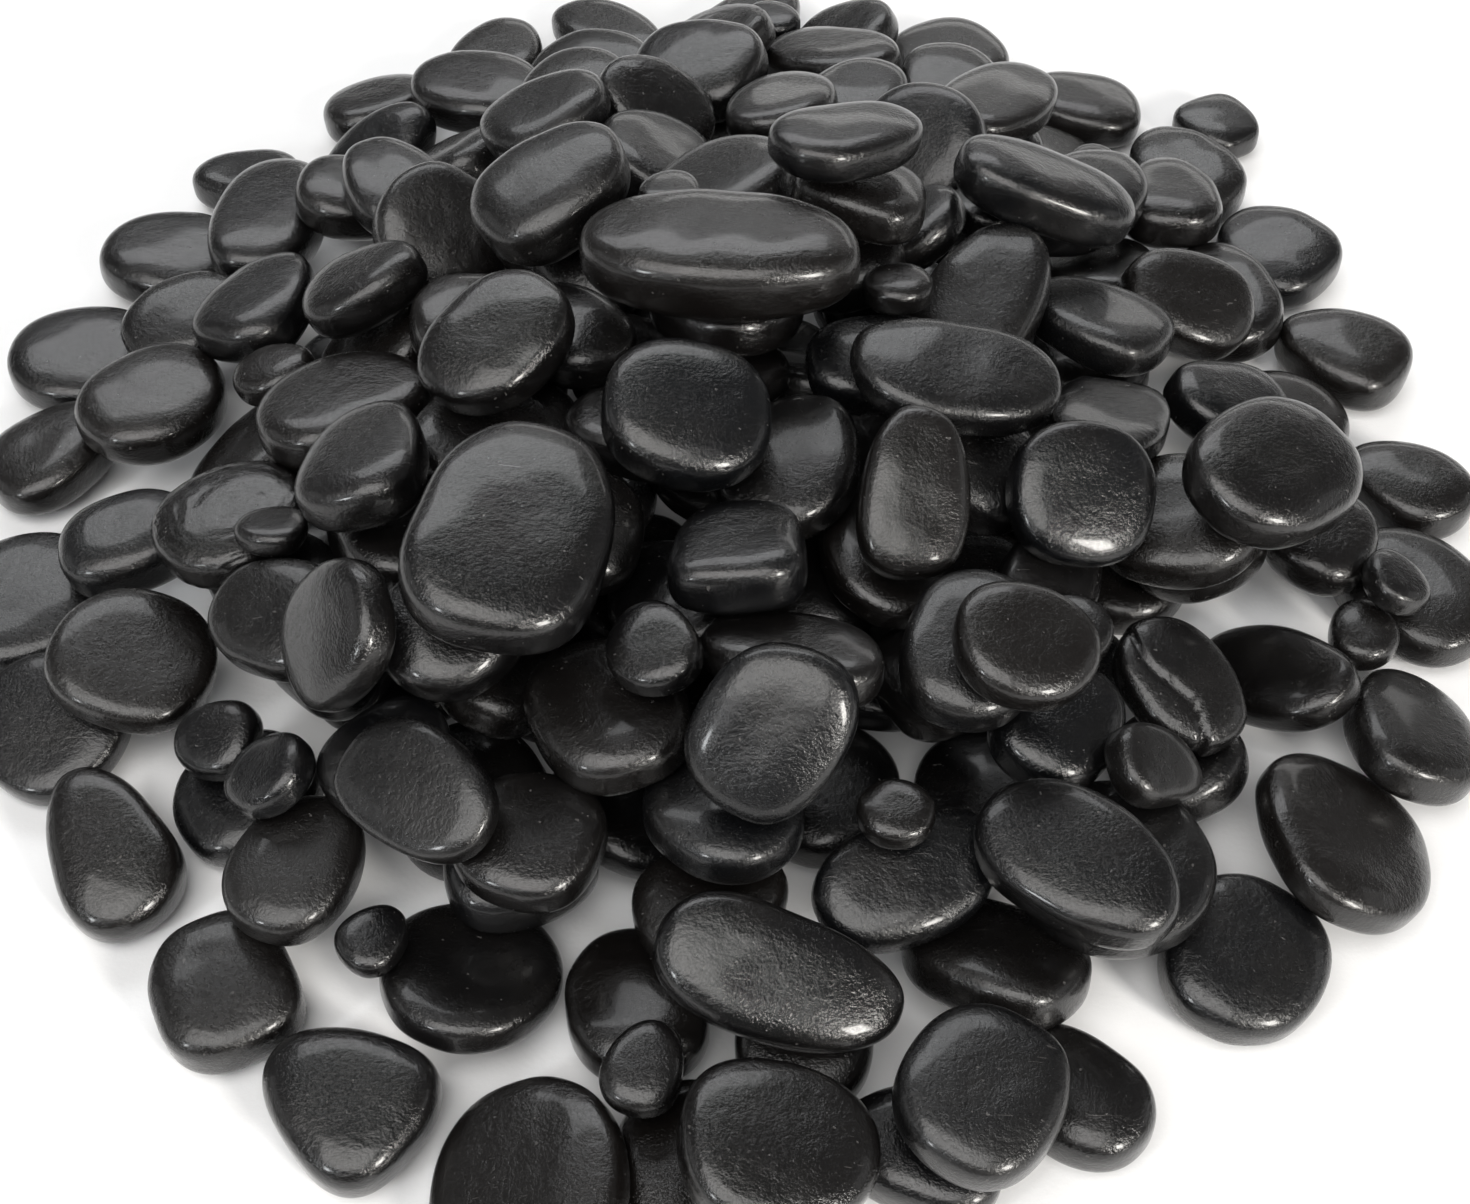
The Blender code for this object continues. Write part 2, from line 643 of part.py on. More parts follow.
def build():
    for item in list(bpy.data.objects):
        bpy.data.objects.remove(item)
    material = basalt()
    heap = lay_heap()
    drop = foot_centre(heap.stones)
    clumps, bridges = grow_clumps(heap)
    for name, stones in clumps.items():
        item = solid_object(name, stone_shell(stones, drop), material)
        if bridges.get(name):
            join_bridges(item, bridges[name], drop, material)
    for stone in heap.stones:
        if stone.name in LOOSE_PLAN:
            solid_object(stone.name, stone_shell([stone], drop), material)


if __name__ == "__main__":
    build()
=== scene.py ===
"""Finished look of a heap of basalt massage stones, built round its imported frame.

The stones are laid once more by the heap's own rule, so that each finished pebble lies where
its plain solid does.  Every pebble then gets its fine, slightly uneven surface, and the pebbles
of each node of the frame become one piece that rides on the node's body.
"""

import json
import math
import random

import bmesh
import bpy
import numpy as np
from mathutils import Matrix, Vector
from mathutils.bvhtree import BVHTree


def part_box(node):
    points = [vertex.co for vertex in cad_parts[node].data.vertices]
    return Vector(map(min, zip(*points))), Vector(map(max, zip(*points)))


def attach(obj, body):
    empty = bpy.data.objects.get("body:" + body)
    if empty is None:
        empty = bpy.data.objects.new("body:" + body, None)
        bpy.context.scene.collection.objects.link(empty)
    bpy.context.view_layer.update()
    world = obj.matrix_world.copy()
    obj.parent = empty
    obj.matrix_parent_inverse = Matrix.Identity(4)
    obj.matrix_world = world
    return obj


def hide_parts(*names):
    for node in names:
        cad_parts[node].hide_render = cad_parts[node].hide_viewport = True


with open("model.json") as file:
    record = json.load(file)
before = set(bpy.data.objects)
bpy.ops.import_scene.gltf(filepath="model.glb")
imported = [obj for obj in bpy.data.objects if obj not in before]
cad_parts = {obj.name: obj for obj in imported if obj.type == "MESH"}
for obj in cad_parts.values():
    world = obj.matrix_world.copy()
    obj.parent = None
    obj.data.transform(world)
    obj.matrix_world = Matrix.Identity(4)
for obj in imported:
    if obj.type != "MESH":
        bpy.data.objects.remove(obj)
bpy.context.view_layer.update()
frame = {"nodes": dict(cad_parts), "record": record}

MM = 0.001

# ---- driving dimensions, in millimetres ----
HEAP_HALF_WIDTH = 218.0     # mound profile along X, from the middle to its foot
HEAP_HALF_DEPTH = 240.0     # mound profile along Y
HEAP_CROWN = 66.0           # rise of the profile from its foot to its crown
HEAP_FOOT = 12.0            # profile height over the outermost stones
STONE_GAP = 0.3             # clearance between stones that rest on each other

# length, width, thickness, taper, bend, plan squareness, side squareness of each kind of stone
KINDS = {
    "coin": (44.0, 41.0, 17.0, 0.02, 0.00, 2.1, 2.4),
    "oval": (46.0, 37.0, 17.0, 0.06, 0.00, 2.1, 2.4),
    "egg": (42.0, 33.0, 18.0, 0.16, 0.00, 2.1, 2.3),
    "long": (54.0, 33.0, 17.0, 0.05, 0.02, 2.2, 2.4),
    "pip": (28.0, 24.0, 13.0, 0.10, 0.00, 2.0, 2.2),
    "bean": (62.0, 33.0, 19.0, 0.04, 0.10, 2.2, 2.4),
    "drop": (54.0, 31.0, 18.0, 0.26, 0.00, 2.1, 2.3),
    "block": (40.0, 37.0, 18.0, 0.08, 0.00, 2.7, 2.6),
    "wedge": (44.0, 38.0, 19.0, 0.28, 0.00, 2.3, 2.4),
    "disc": (50.0, 46.0, 15.0, 0.00, 0.00, 2.1, 2.6),
    "slab": (50.0, 33.0, 13.0, 0.05, 0.00, 2.2, 2.6),
    "brow": (63.0, 46.0, 20.0, 0.04, 0.00, 2.2, 2.4),
    "crest": (76.0, 44.0, 23.0, 0.10, 0.00, 2.1, 2.3),
}

# The courses of joined stones, from the mound's foot to its crest: the share of the mound's half
# width and depth at which the course runs, the outward lean of its stones, and their kinds in
# order, from the front round by the right.
COURSES = (
    (0.97, 4, "coin wedge egg coin disc oval oval egg egg coin oval oval coin oval long long "
              "oval egg egg coin disc oval disc disc drop block wedge disc"),
    (0.82, 10, "egg oval disc oval long egg coin oval egg oval coin long oval coin oval egg "
               "long oval coin egg disc coin oval disc oval"),
    (0.67, 14, "oval long egg oval coin wedge oval long slab egg oval coin egg oval egg long "
               "coin oval egg coin"),
    (0.52, 16, "long oval egg slab oval pip coin oval egg oval coin egg oval long egg oval"),
    (0.37, 14, "oval slab egg long oval egg coin oval egg oval egg"),
    (0.22, 10, "oval long egg coin oval egg oval"),
    (0.07, 4, "oval coin"),
)
COURSE_STRAY = 0.16         # how far a stone strays along its course, as a share of their spacing
COURSE_WEAVE = 0.025        # and in or out, as a share of the mound
LEAN_STRAY = 9.0            # degrees
COURSE_SIZES = (0.90, 1.12)

# The loose stones.  Each row is kind, size against the kind's, the loose stone it lies beside and
# the direction from that one to it (0 is +X, 90 is +Y), the heading of its long axis, and the lean
# of its top towards -Y and towards +X.  "middle" and "foot" are the mound's own.
LOOSE_PLAN = {
    "crest_long_stone": ("crest", 1.05, "middle", 0, -5, 10, 0),
    "crest_slope_stone": ("slab", 1.15, "crest_long_stone", -25, 0, -15, 0),
    "back_slant_stone": ("long", 0.90, "crest_long_stone", 50, 30, 10, 0),
    "crest_bean_stone": ("bean", 1.00, "back_slant_stone", 10, -5, 5, 0),
    "back_left_stone": ("egg", 1.15, "crest_long_stone", 145, 30, 10, 0),
    "centre_round_stone": ("coin", 1.10, "crest_long_stone", -100, 0, 30, 0),
    "centre_pillar_stone": ("long", 0.90, "crest_slope_stone", -95, 90, 30, 5),
    "brow_stone": ("brow", 1.10, "centre_round_stone", -135, 80, 30, 0),
    "centre_square_stone": ("block", 1.00, "centre_round_stone", -70, 90, 30, 0),
    "left_slope_stone": ("oval", 1.05, "crest_long_stone", 200, 45, 20, -10),
    "left_egg_stone": ("egg", 1.10, "left_slope_stone", -130, 90, 20, -15),
    "left_lower_stone": ("coin", 0.90, "left_egg_stone", -80, 0, 20, -5),
    "left_slant_stone": ("slab", 0.95, "left_lower_stone", -75, -40, 10, 0),
    "right_round_stone": ("coin", 1.00, "centre_pillar_stone", 30, 0, 18, 8),
    "right_high_stone": ("oval", 1.15, "right_round_stone", 5, 40, 10, 10),
    "right_front_stone": ("coin", 0.85, "centre_pillar_stone", -70, 0, 12, 0),
    "front_middle_stone": ("oval", 1.00, "centre_square_stone", -80, 50, 15, 0),
    "front_oval_stone": ("long", 1.05, "right_front_stone", -75, -40, 12, 0),
    "front_bean_stone": ("bean", 1.00, "front_middle_stone", -95, -15, 15, 0),
    "front_left_round_stone": ("coin", 1.05, "front_bean_stone", -90, 0, 0, 0),
    "front_right_round_stone": ("coin", 1.05, "front_left_round_stone", 5, 60, 0, 0),
    "back_right_lone_stone": ("block", 0.75, "foot", 42, -60, 0, 0),
}
LOOSE_SPREAD = 1.12         # loose stones lie this much farther apart than touching
FOOT_REACH = 1.06           # a stone at the foot lies this share of the mound from its middle

# ---- how the stones are laid ----
BURIED_SIDES = 6            # facets round a buried stone, a joined one and a loose one
JOINED_SIDES = 8
LOOSE_SIDES = 10
CELL = 1.0                  # cell of the height map of the heap
MAP_MARGIN = 60.0           # how far that map runs past the heap
MAP_HALF = max(HEAP_HALF_WIDTH, HEAP_HALF_DEPTH) + MAP_MARGIN
BED_PITCH = 46.0            # spacing of the buried bed stones
BED_LAYERS = 4
BED_JITTER = 5.0            # how far a buried stone lies from its row
FILL_THICKNESS = 17.0       # a stone this thick fits under a stone that would lie too low
MOST_FILLS = 2
COVER = 38.0                # depth of the visible stones over the buried bed
GAP_PITCH = 9.0             # spacing of the places where a small stone is tried in a gap
GAP_AROUND = 24.0           # half side of the patch that a gap is compared with
GAP_DEPTH = 7.0             # a gap is this much lower than the stones around it
GAP_REACH = 0.92            # part of the mound's half sizes within which gaps are filled
GAP_SIZES = (0.75, 1.05)    # of the small stones that lie in gaps, against a pip's
GAP_COVER = 1.0             # how far such a stone's middle stays under the stones around it
SLACK = 9.0                 # a stone may lie this far under the mound's profile
LEAN_STEPS = (10.0, 5.0)    # degrees, tried around a stone's lean
SHIFT_STEPS = (3.0, 1.5)    # tried around a stone's place
SETTLE_ROUNDS = 3
DRIFT_COST = 0.35           # a stone leaves its planned place only for a lower rest
LEAN_COST = 0.06
SUNK = 0.6                  # part of its thickness that a stone's middle lies under the profile
LOW_GAIN = 0.3              # what lying still lower counts against lying too high
LEAST_GAIN = 1e-5           # a smaller gain doesn't move a stone
LOOK_AROUND = 9.0           # how far around a place the bed's height is read
DROP = 3.0                  # last, exact part of a stone's way down
FLAT = 0.02                 # a face flatter than this is neither a top nor a bottom
SIZE_SPREAD = 0.05          # how far one stone differs from its kind
SEED = 7


def profile(x, y):
    """Height of the mound's profile over the floor."""
    reach = (x / HEAP_HALF_WIDTH) ** 2 + (y / HEAP_HALF_DEPTH) ** 2
    return HEAP_FOOT + HEAP_CROWN * max(0.0, 1.0 - reach)


def rotation(heading, lean_front, lean_right):
    turn = Matrix.Rotation(math.radians(heading), 3, "Z")
    front = Matrix.Rotation(math.radians(lean_front), 3, "X")
    right = Matrix.Rotation(math.radians(lean_right), 3, "Y")
    return np.array(right @ front @ turn)


def signed_power(value, power):
    return math.copysign(abs(value) ** power, value)


def ring_points(sizes, segments, levels, grow=0.0):
    """Points of a pebble on level rings, as rows of rings from its bottom to its top."""
    length, width, thickness, taper, bend, plan_power, side_power = sizes
    half = (length / 2 + grow, width / 2 + grow, thickness / 2 + grow)
    rings = []
    for level in levels:
        reach = abs(math.cos(level)) ** (2 / side_power)
        height = signed_power(math.sin(level), 2 / side_power)
        ring = []
        for step in range(segments):
            angle = 2 * math.pi * (step + 0.5) / segments
            along = reach * signed_power(math.cos(angle), 2 / plan_power)
            across = reach * signed_power(math.sin(angle), 2 / plan_power)
            across = across * (1 - taper * along) + bend * (along ** 2 - 0.4)
            ring.append((half[0] * along, half[1] * across, half[2] * height))
        rings.append(ring)
    return rings


def even_levels(count, end=math.radians(62.0)):
    """Angles of a pebble's level rings; the outer two are its flat top and bottom."""
    return [end * (2 * k / (count - 1) - 1) for k in range(count)]


def flat_caps(rings, sizes, grow=0.0):
    """Put the outer rings at the stone's full thickness, so it lies on a flat."""
    half = sizes[2] / 2 + grow
    rings[0] = [(x, y, -half) for x, y, _ in rings[0]]
    rings[-1] = [(x, y, half) for x, y, _ in rings[-1]]
    return rings


def hull_faces(points):
    """Convex hull of the points, as its corner points and its triangles."""
    shell = bmesh.new()
    for point in points:
        shell.verts.new(point)
    done = bmesh.ops.convex_hull(shell, input=shell.verts)
    spare = {item for item in done["geom_interior"] + done["geom_unused"]
             if isinstance(item, bmesh.types.BMVert)}
    bmesh.ops.delete(shell, geom=list(spare), context="VERTS")
    bmesh.ops.recalc_face_normals(shell, faces=shell.faces)
    shell.verts.index_update()
    corners = np.array([vert.co[:] for vert in shell.verts])
    faces = [[vert.index for vert in face.verts] for face in shell.faces]
    shell.free()
    return corners, faces


class Stone:
    """One pebble: its shape about its own middle, and where it lies."""

    def __init__(self, name, row, segments, levels=4):
        kind, size, x, y, self.heading, self.lean_front, self.lean_right = row
        self.name = name
        self.sizes = vary(KINDS[kind], size, random.Random(f"{SEED} {name}"))
        self.x = x
        self.y = y
        self.z = 0.0
        grow = STONE_GAP / 2
        rings = ring_points(self.sizes, 2 * segments, even_levels(2 * levels - 1), grow)
        rings = flat_caps(rings, self.sizes, grow)
        self.skin, self.skin_faces = hull_faces([point for ring in rings for point in ring])
        rings = ring_points(self.sizes, 2 * segments, even_levels(2 * levels - 1))
        rings = flat_caps(rings, self.sizes)
        self.solid, self.solid_faces = hull_faces([point for ring in rings[::2] for point in ring[::2]])
        self.normals, self.offsets = face_planes(self.skin, self.skin_faces)

    def turn(self):
        return rotation(self.heading, self.lean_front, self.lean_right)

    def place(self):
        return np.array((self.x, self.y, self.z))

    def laid(self, corners):
        return corners @ self.turn().T + self.place()

    def tree(self, corners, faces):
        return BVHTree.FromPolygons([Vector(corner) for corner in self.laid(corners)], faces)

    def columns(self, grow=0.0):
        """The map cells under the stone, with its bottom and top in each, from its middle."""
        normals = self.normals @ self.turn().T
        offsets = self.offsets + grow + normals[:, :2] @ (self.x, self.y)
        corners = self.laid(self.skin)
        low = np.floor((corners.min(axis=0)[:2] - grow + MAP_HALF) / CELL).astype(int)
        high = np.ceil((corners.max(axis=0)[:2] + grow + MAP_HALF) / CELL).astype(int) + 1
        rows = np.arange(low[0], high[0])
        cols = np.arange(low[1], high[1])
        grid_x, grid_y = np.meshgrid(rows * CELL - MAP_HALF, cols * CELL - MAP_HALF, indexing="ij")
        spots = np.stack((grid_x.ravel(), grid_y.ravel()))
        down = normals[:, 2] < -FLAT
        up = normals[:, 2] > FLAT
        bottoms = (offsets[down, None] - normals[down, :2] @ spots) / normals[down, 2:]
        tops = (offsets[up, None] - normals[up, :2] @ spots) / normals[up, 2:]
        bottom = bottoms.max(axis=0).reshape(grid_x.shape)
        top = tops.min(axis=0).reshape(grid_x.shape)
        return (slice(low[0], high[0]), slice(low[1], high[1])), bottom, top


def vary(kind, size, draw):
    """The kind's sizes, at this stone's own size and with its own small differences."""
    length, width, thickness, taper, bend, plan_power, side_power = kind
    spread = [size * (1 + draw.uniform(-SIZE_SPREAD, SIZE_SPREAD)) for _ in range(3)]
    taper += draw.uniform(-0.03, 0.05)
    plan_power += draw.uniform(0.0, 0.25)
    return (length * spread[0], width * spread[1], thickness * spread[2], taper, bend,
            plan_power, side_power)


def face_planes(corners, faces):
    """Outward unit normals and offsets of a convex body's faces, each plane once."""
    triangles = corners[np.array([face[:3] for face in faces])]
    normals = np.cross(triangles[:, 1] - triangles[:, 0], triangles[:, 2] - triangles[:, 0])
    normals /= np.linalg.norm(normals, axis=1)[:, None]
    offsets = np.einsum("ij,ij->i", normals, triangles[:, 0])
    planes = np.unique(np.round(np.column_stack((normals, offsets)), 5), axis=0)
    return planes[:, :3], planes[:, 3]


class Heap:
    """The stones laid so far, with a height map of their tops."""

    def __init__(self):
        cells = int(2 * MAP_HALF / CELL) + 1
        self.tops = np.zeros((cells, cells))
        self.stones = []
        self.trees = []

    def rest_height(self, stone):
        """Height of the stone's middle when it comes down straight onto the heap."""
        window, bottom, top = stone.columns()
        inside = bottom <= top
        return round(float(np.max(self.tops[window][inside] - bottom[inside])), 4)

    def cost(self, stone, start):
        drift = math.hypot(stone.x - start[0], stone.y - start[1])
        lean = abs(stone.lean_front - start[2]) + abs(stone.lean_right - start[3])
        over = self.rest_height(stone) - profile(stone.x, stone.y) + stone.sizes[2] * SUNK
        return max(over, over * LOW_GAIN) + DRIFT_COST * drift + LEAN_COST * lean

    def settle(self, stone):
        """Find the lean and the place, near the planned ones, where the stone lies lowest."""
        start = (stone.x, stone.y, stone.lean_front, stone.lean_right)
        best = self.cost(stone, start)
        for lean_step, shift_step in zip(LEAN_STEPS, SHIFT_STEPS):
            moves = [("lean_front", lean_step), ("lean_right", lean_step),
                     ("x", shift_step), ("y", shift_step)]
            moves += [(name, -step) for name, step in moves]
            for _ in range(SETTLE_ROUNDS):
                before = best
                for name, step in moves:
                    kept = getattr(stone, name)
                    setattr(stone, name, kept + step)
                    trial = self.cost(stone, start)
                    if trial < best - LEAST_GAIN:
                        best = trial
                    else:
                        setattr(stone, name, kept)
                if best == before:
                    break

    def touches(self, stone, near):
        skin = stone.tree(stone.skin, stone.skin_faces)
        return any(skin.overlap(self.trees[k]) for k in near)

    def lay(self, stone, settle=True):
        """Lower the stone onto the heap and leave it where it comes to rest."""
        if settle:
            self.settle(stone)
        stone.z = self.rest_height(stone)
        floor = stone.z - float(stone.laid(stone.skin)[:, 2].min())
        reach = stone.sizes[0] / 2
        near = [k for k, other in enumerate(self.stones)
                if np.linalg.norm(other.place() - stone.place()) < reach + other.sizes[0] / 2 + DROP]
        while self.touches(stone, near):
            stone.z += DROP / 4
        drop = DROP / 2
        while drop > DROP / 32:
            if stone.z - drop >= floor:
                stone.z -= drop
                if self.touches(stone, near):
                    stone.z += drop
            drop /= 2
        window, bottom, top = stone.columns(grow=CELL * 0.75)
        covered = bottom <= top
        tops = self.tops[window]
        tops[covered] = np.maximum(tops[covered], top[covered] + stone.z)
        self.stones.append(stone)
        self.trees.append(stone.tree(stone.skin, stone.skin_faces))

    def cells_of(self, names):
        """The map cells that the named stones cover."""
        covered = np.zeros(self.tops.shape, bool)
        for stone in self.stones:
            if stone.name in names:
                window, bottom, top = stone.columns(grow=CELL)
                covered[window] |= bottom <= top
        return covered

    def mean_top(self, x, y, around=LOOK_AROUND):
        """Mean height of the heap's top in a square patch around a place."""
        i = int((x + MAP_HALF) / CELL)
        j = int((y + MAP_HALF) / CELL)
        reach = int(around / CELL)
        return float(self.tops[i - reach:i + reach + 1, j - reach:j + reach + 1].mean())

    def depth_under_profile(self, x, y):
        return profile(x, y) - self.mean_top(x, y)


def bed_places():
    """Places of the buried bed stones, layer by layer, in staggered rows."""
    row_pitch = BED_PITCH * math.sqrt(3) / 2
    rows = int(HEAP_HALF_DEPTH / row_pitch)
    columns = int(HEAP_HALF_WIDTH / BED_PITCH)
    for layer in range(BED_LAYERS):
        for row in range(-rows, rows + 1):
            for column in range(-columns, columns + 1):
                stagger = ((row + layer) % 2) * BED_PITCH / 2
                yield column * BED_PITCH + stagger, row * row_pitch + layer * BED_PITCH / 3


def buried_stone(name, kinds, x, y):
    """A stone that the stones on top hide, close to a place and turned any way."""
    draw = random.Random(f"{SEED} {name}")
    stone = Stone(name, (draw.choice(kinds), 1.0, 0, 0, draw.uniform(0, 180), 0, 0), BURIED_SIDES)
    stone.x = x + draw.uniform(-BED_JITTER, BED_JITTER)
    stone.y = y + draw.uniform(-BED_JITTER, BED_JITTER)
    return stone


def lay_bed(heap):
    """Lay buried stones until the bed is one stone's cover under the mound's profile."""
    for count, (x, y) in enumerate(bed_places()):
        stone = buried_stone(f"bed {count}", ("coin", "oval", "disc"), x, y)
        if heap.depth_under_profile(stone.x, stone.y) > stone.sizes[2] + COVER:
            heap.lay(stone)


def lay_on_profile(heap, stone):
    """Lay a planned stone, with buried ones under it where the bed is still too low."""
    for count in range(MOST_FILLS):
        depth = heap.depth_under_profile(stone.x, stone.y)
        if depth > stone.sizes[2] + FILL_THICKNESS + SLACK:
            heap.lay(buried_stone(f"fill {count} under {stone.name}", ("egg",), stone.x, stone.y))
    heap.lay(stone)


def gap_places():
    """Places in staggered rows all over the mound, but for its outermost stones."""
    rows = int(HEAP_HALF_DEPTH / GAP_PITCH)
    columns = int(HEAP_HALF_WIDTH / GAP_PITCH)
    for row in range(-rows, rows + 1):
        for column in range(-columns, columns + 1):
            x, y = (column + row % 2 / 2) * GAP_PITCH, row * GAP_PITCH
            if math.hypot(x / HEAP_HALF_WIDTH, y / HEAP_HALF_DEPTH) < GAP_REACH:
                yield x, y


def fill_gaps(heap):
    """Drop small stones into the gaps between the others, clear of the way of the loose ones."""
    taken = heap.cells_of(LOOSE_PLAN)
    for count, (x, y) in enumerate(gap_places()):
        around = heap.mean_top(x, y, GAP_AROUND)
        if heap.mean_top(x, y) < around - GAP_DEPTH:
            draw = random.Random(f"{SEED} gap {count}")
            row = ("pip", draw.uniform(*GAP_SIZES), 0, 0, draw.uniform(0, 180), 0, 0)
            stone = Stone(f"gap {count}", row, BURIED_SIDES, levels=3)
            stone.x = x
            stone.y = y
            heap.settle(stone)
            window, bottom, top = stone.columns()
            low = heap.rest_height(stone) < around - GAP_COVER
            if low and not taken[window][bottom <= top].any():
                heap.lay(stone, settle=False)


def on_mound(share, turn):
    """The place at a share of the way from the mound's middle to its foot, in a direction."""
    return HEAP_HALF_WIDTH * share * math.cos(turn), HEAP_HALF_DEPTH * share * math.sin(turn)


def course_rows():
    """The joined stones' rows, spread evenly round each course and leaning outwards."""
    for course, (reach, lean, kinds) in enumerate(COURSES):
        kinds = kinds.split()
        for count, kind in enumerate(kinds):
            draw = random.Random(f"{SEED} course {course} {count}")
            step = count + course % 2 / 2 + draw.uniform(-COURSE_STRAY, COURSE_STRAY)
            turn = math.tau * step / len(kinds) - math.pi / 2
            x, y = on_mound(reach + draw.uniform(-COURSE_WEAVE, COURSE_WEAVE), turn)
            tilt = lean + draw.uniform(-LEAN_STRAY, LEAN_STRAY)
            size, heading = draw.uniform(*COURSE_SIZES), draw.uniform(0, 180)
            yield kind, size, x, y, heading, -tilt * math.sin(turn), tilt * math.cos(turn)


def half_across(kind, size, heading, direction):
    """Half the breadth of a kind of stone along a direction."""
    length, width = KINDS[kind][:2]
    turn = math.radians(direction - heading)
    return size / math.hypot(2 * math.cos(turn) / length, 2 * math.sin(turn) / width)


def loose_rows():
    """The loose stones' rows, each placed beside the one that it lies next to."""
    places = {}
    for name, (kind, size, beside, direction, heading, front, right) in LOOSE_PLAN.items():
        turn = math.radians(direction)
        if beside in places:
            near_kind, near_size, _, _, near_heading = LOOSE_PLAN[beside][:5]
            apart = LOOSE_SPREAD * (half_across(kind, size, heading, direction)
                                    + half_across(near_kind, near_size, near_heading, direction))
            x = places[beside][0] + apart * math.cos(turn)
            y = places[beside][1] + apart * math.sin(turn)
        else:
            x, y = on_mound(FOOT_REACH if beside == "foot" else 0.0, turn)
        places[name] = (x, y)
        yield name, (kind, size, x, y, heading, front, right)


def lay_heap():
    heap = Heap()
    lay_bed(heap)
    for count, row in enumerate(course_rows()):
        lay_on_profile(heap, Stone(f"joined {count}", row, JOINED_SIDES))
    for name, row in loose_rows():
        lay_on_profile(heap, Stone(name, row, LOOSE_SIDES))
    fill_gaps(heap)
    return heap




# ---- the fine surface of a pebble, in millimetres ----
FINE = 5                    # icosphere steps of a pebble that shows, and of a buried one
PLAIN = 4
FLATTER = 1.0               # a polished top is flatter than the plain solid's rounding
WORN = 0.93                 # polished thickness against the plain solid's
WAVES = 7                   # waves that make a surface uneven
WAVE_LENGTHS = (13.0, 34.0)
WAVE_HEIGHT = 0.22
LOBES = (0.016, 0.020, 0.006)   # how far the outline departs from an oval, two- to four-lobed
RIDGE_HEIGHT = 0.45
RIDGE_PITCH = 3.6

# Stones with flow ridges along them, stones with a broken face, and the one with an open crack:
# ridges give their pitch; a break gives where it cuts, as a share of the half length, and its slant.
RIDGED = {"joined 69": 1.0, "joined 40": 0.8, "joined 81": 0.6}
BROKEN = {"joined 76": (0.62, 25.0)}
CRACKED = {"joined 56": 0.18}


def powered(values, power):
    return np.sign(values) * np.abs(values) ** power


def pebble_points(stone, ball):
    """The ball's points moved onto the stone's surface, about the stone's middle."""
    length, width, thickness, taper, bend, plan_power, side_power = stone.sizes
    draw = random.Random(f"{SEED} surface {stone.name}")
    angle = np.arctan2(ball[:, 1], ball[:, 0])
    level = np.arcsin(np.clip(ball[:, 2], -1.0, 1.0))
    reach = np.cos(level) ** (2 / (side_power + FLATTER))
    phases = [draw.uniform(0, 2 * math.pi) for _ in LOBES]
    for count, (lobe, phase) in enumerate(zip(LOBES, phases), start=2):
        reach = reach * (1 - lobe * (1 - np.cos(count * angle + phase)) * np.cos(level))
    along = reach * powered(np.cos(angle), 2 / plan_power)
    across = reach * powered(np.sin(angle), 2 / plan_power)
    across = across * (1 - taper * along) + bend * (along ** 2 - 0.4)
    height = powered(np.sin(level), 2 / (side_power + FLATTER))
    crown = 1 - 0.06 * draw.random() * along - 0.04 * draw.random() * across
    height = height * crown * WORN
    points = np.column_stack((length / 2 * along, width / 2 * across, thickness / 2 * height))
    return points + ball * unevenness(stone, points, draw)[:, None]


def unevenness(stone, points, draw):
    """How far the surface stands in or out at each point: soft waves, ridges and a crack."""
    rise = np.full(len(points), -WAVE_HEIGHT)
    for _ in range(WAVES):
        way = Vector([draw.gauss(0, 1) for _ in range(3)]).normalized()
        pitch = draw.uniform(*WAVE_LENGTHS)
        turns = points @ np.array(way) * (2 * math.pi / pitch)
        rise += WAVE_HEIGHT / math.sqrt(WAVES) * np.sin(turns + draw.uniform(0, 2 * math.pi))
    if stone.name in RIDGED:
        swing = 2.2 * np.sin(points[:, 0] / 9.0)
        folds = np.sin((points[:, 1] + swing) * 2 * math.pi / RIDGE_PITCH)
        rise += RIDGED[stone.name] * RIDGE_HEIGHT * (np.abs(folds) ** 0.6 - 1)
    if stone.name in CRACKED:
        split = points[:, 1] - CRACKED[stone.name] * stone.sizes[1] - 2.0 * np.sin(points[:, 0] / 5.0)
        rise -= 1.6 * np.exp(-(split / 0.9) ** 2) + 0.5 * (split > 0)
    return rise


def break_off(stone, points):
    """Flatten what lies beyond the stone's broken face onto that face, rough as it breaks."""
    if stone.name not in BROKEN:
        return points
    cut, slant = BROKEN[stone.name]
    face = np.array((math.cos(math.radians(slant)), 0.35 * math.sin(math.radians(slant)),
                     math.sin(math.radians(slant))))
    face /= np.linalg.norm(face)
    depth = points @ face - cut * stone.sizes[0] / 2
    rough = 0.35 * np.sin(points[:, 1] * 1.9) * np.cos(points[:, 2] * 2.6) + 0.2 * np.sin(points[:, 1] * 5.1)
    beyond = np.clip(depth - rough, 0.0, None)
    return points - beyond[:, None] * face


def add_pebble(shell, stone, shift, steps):
    """One finished pebble in the shell, in metres, where the stone lies."""
    made = bmesh.ops.create_icosphere(shell, subdivisions=steps, radius=1.0)
    ball = np.array([vert.co[:] for vert in made["verts"]])
    ball /= np.linalg.norm(ball, axis=1)[:, None]
    points = break_off(stone, pebble_points(stone, ball))
    places = (stone.laid(points) + shift) * MM
    places[:, 2] = np.maximum(places[:, 2], 0.0)
    tones = (stone_tone(stone), stone_sheen(stone))
    layers = [shell.verts.layers.float[name] for name in ("tone", "sheen")]
    for vert, place in zip(made["verts"], places):
        vert.co = place
        for layer, value in zip(layers, tones):
            vert[layer] = value


def stone_tone(stone):
    """From 0 for a bluish black stone to 1 for a brownish one."""
    return random.Random(f"{SEED} tone {stone.name}").random()


def stone_sheen(stone):
    """From 0 for a dull stone to 1 for a glossy one."""
    return random.Random(f"{SEED} sheen {stone.name}").random()


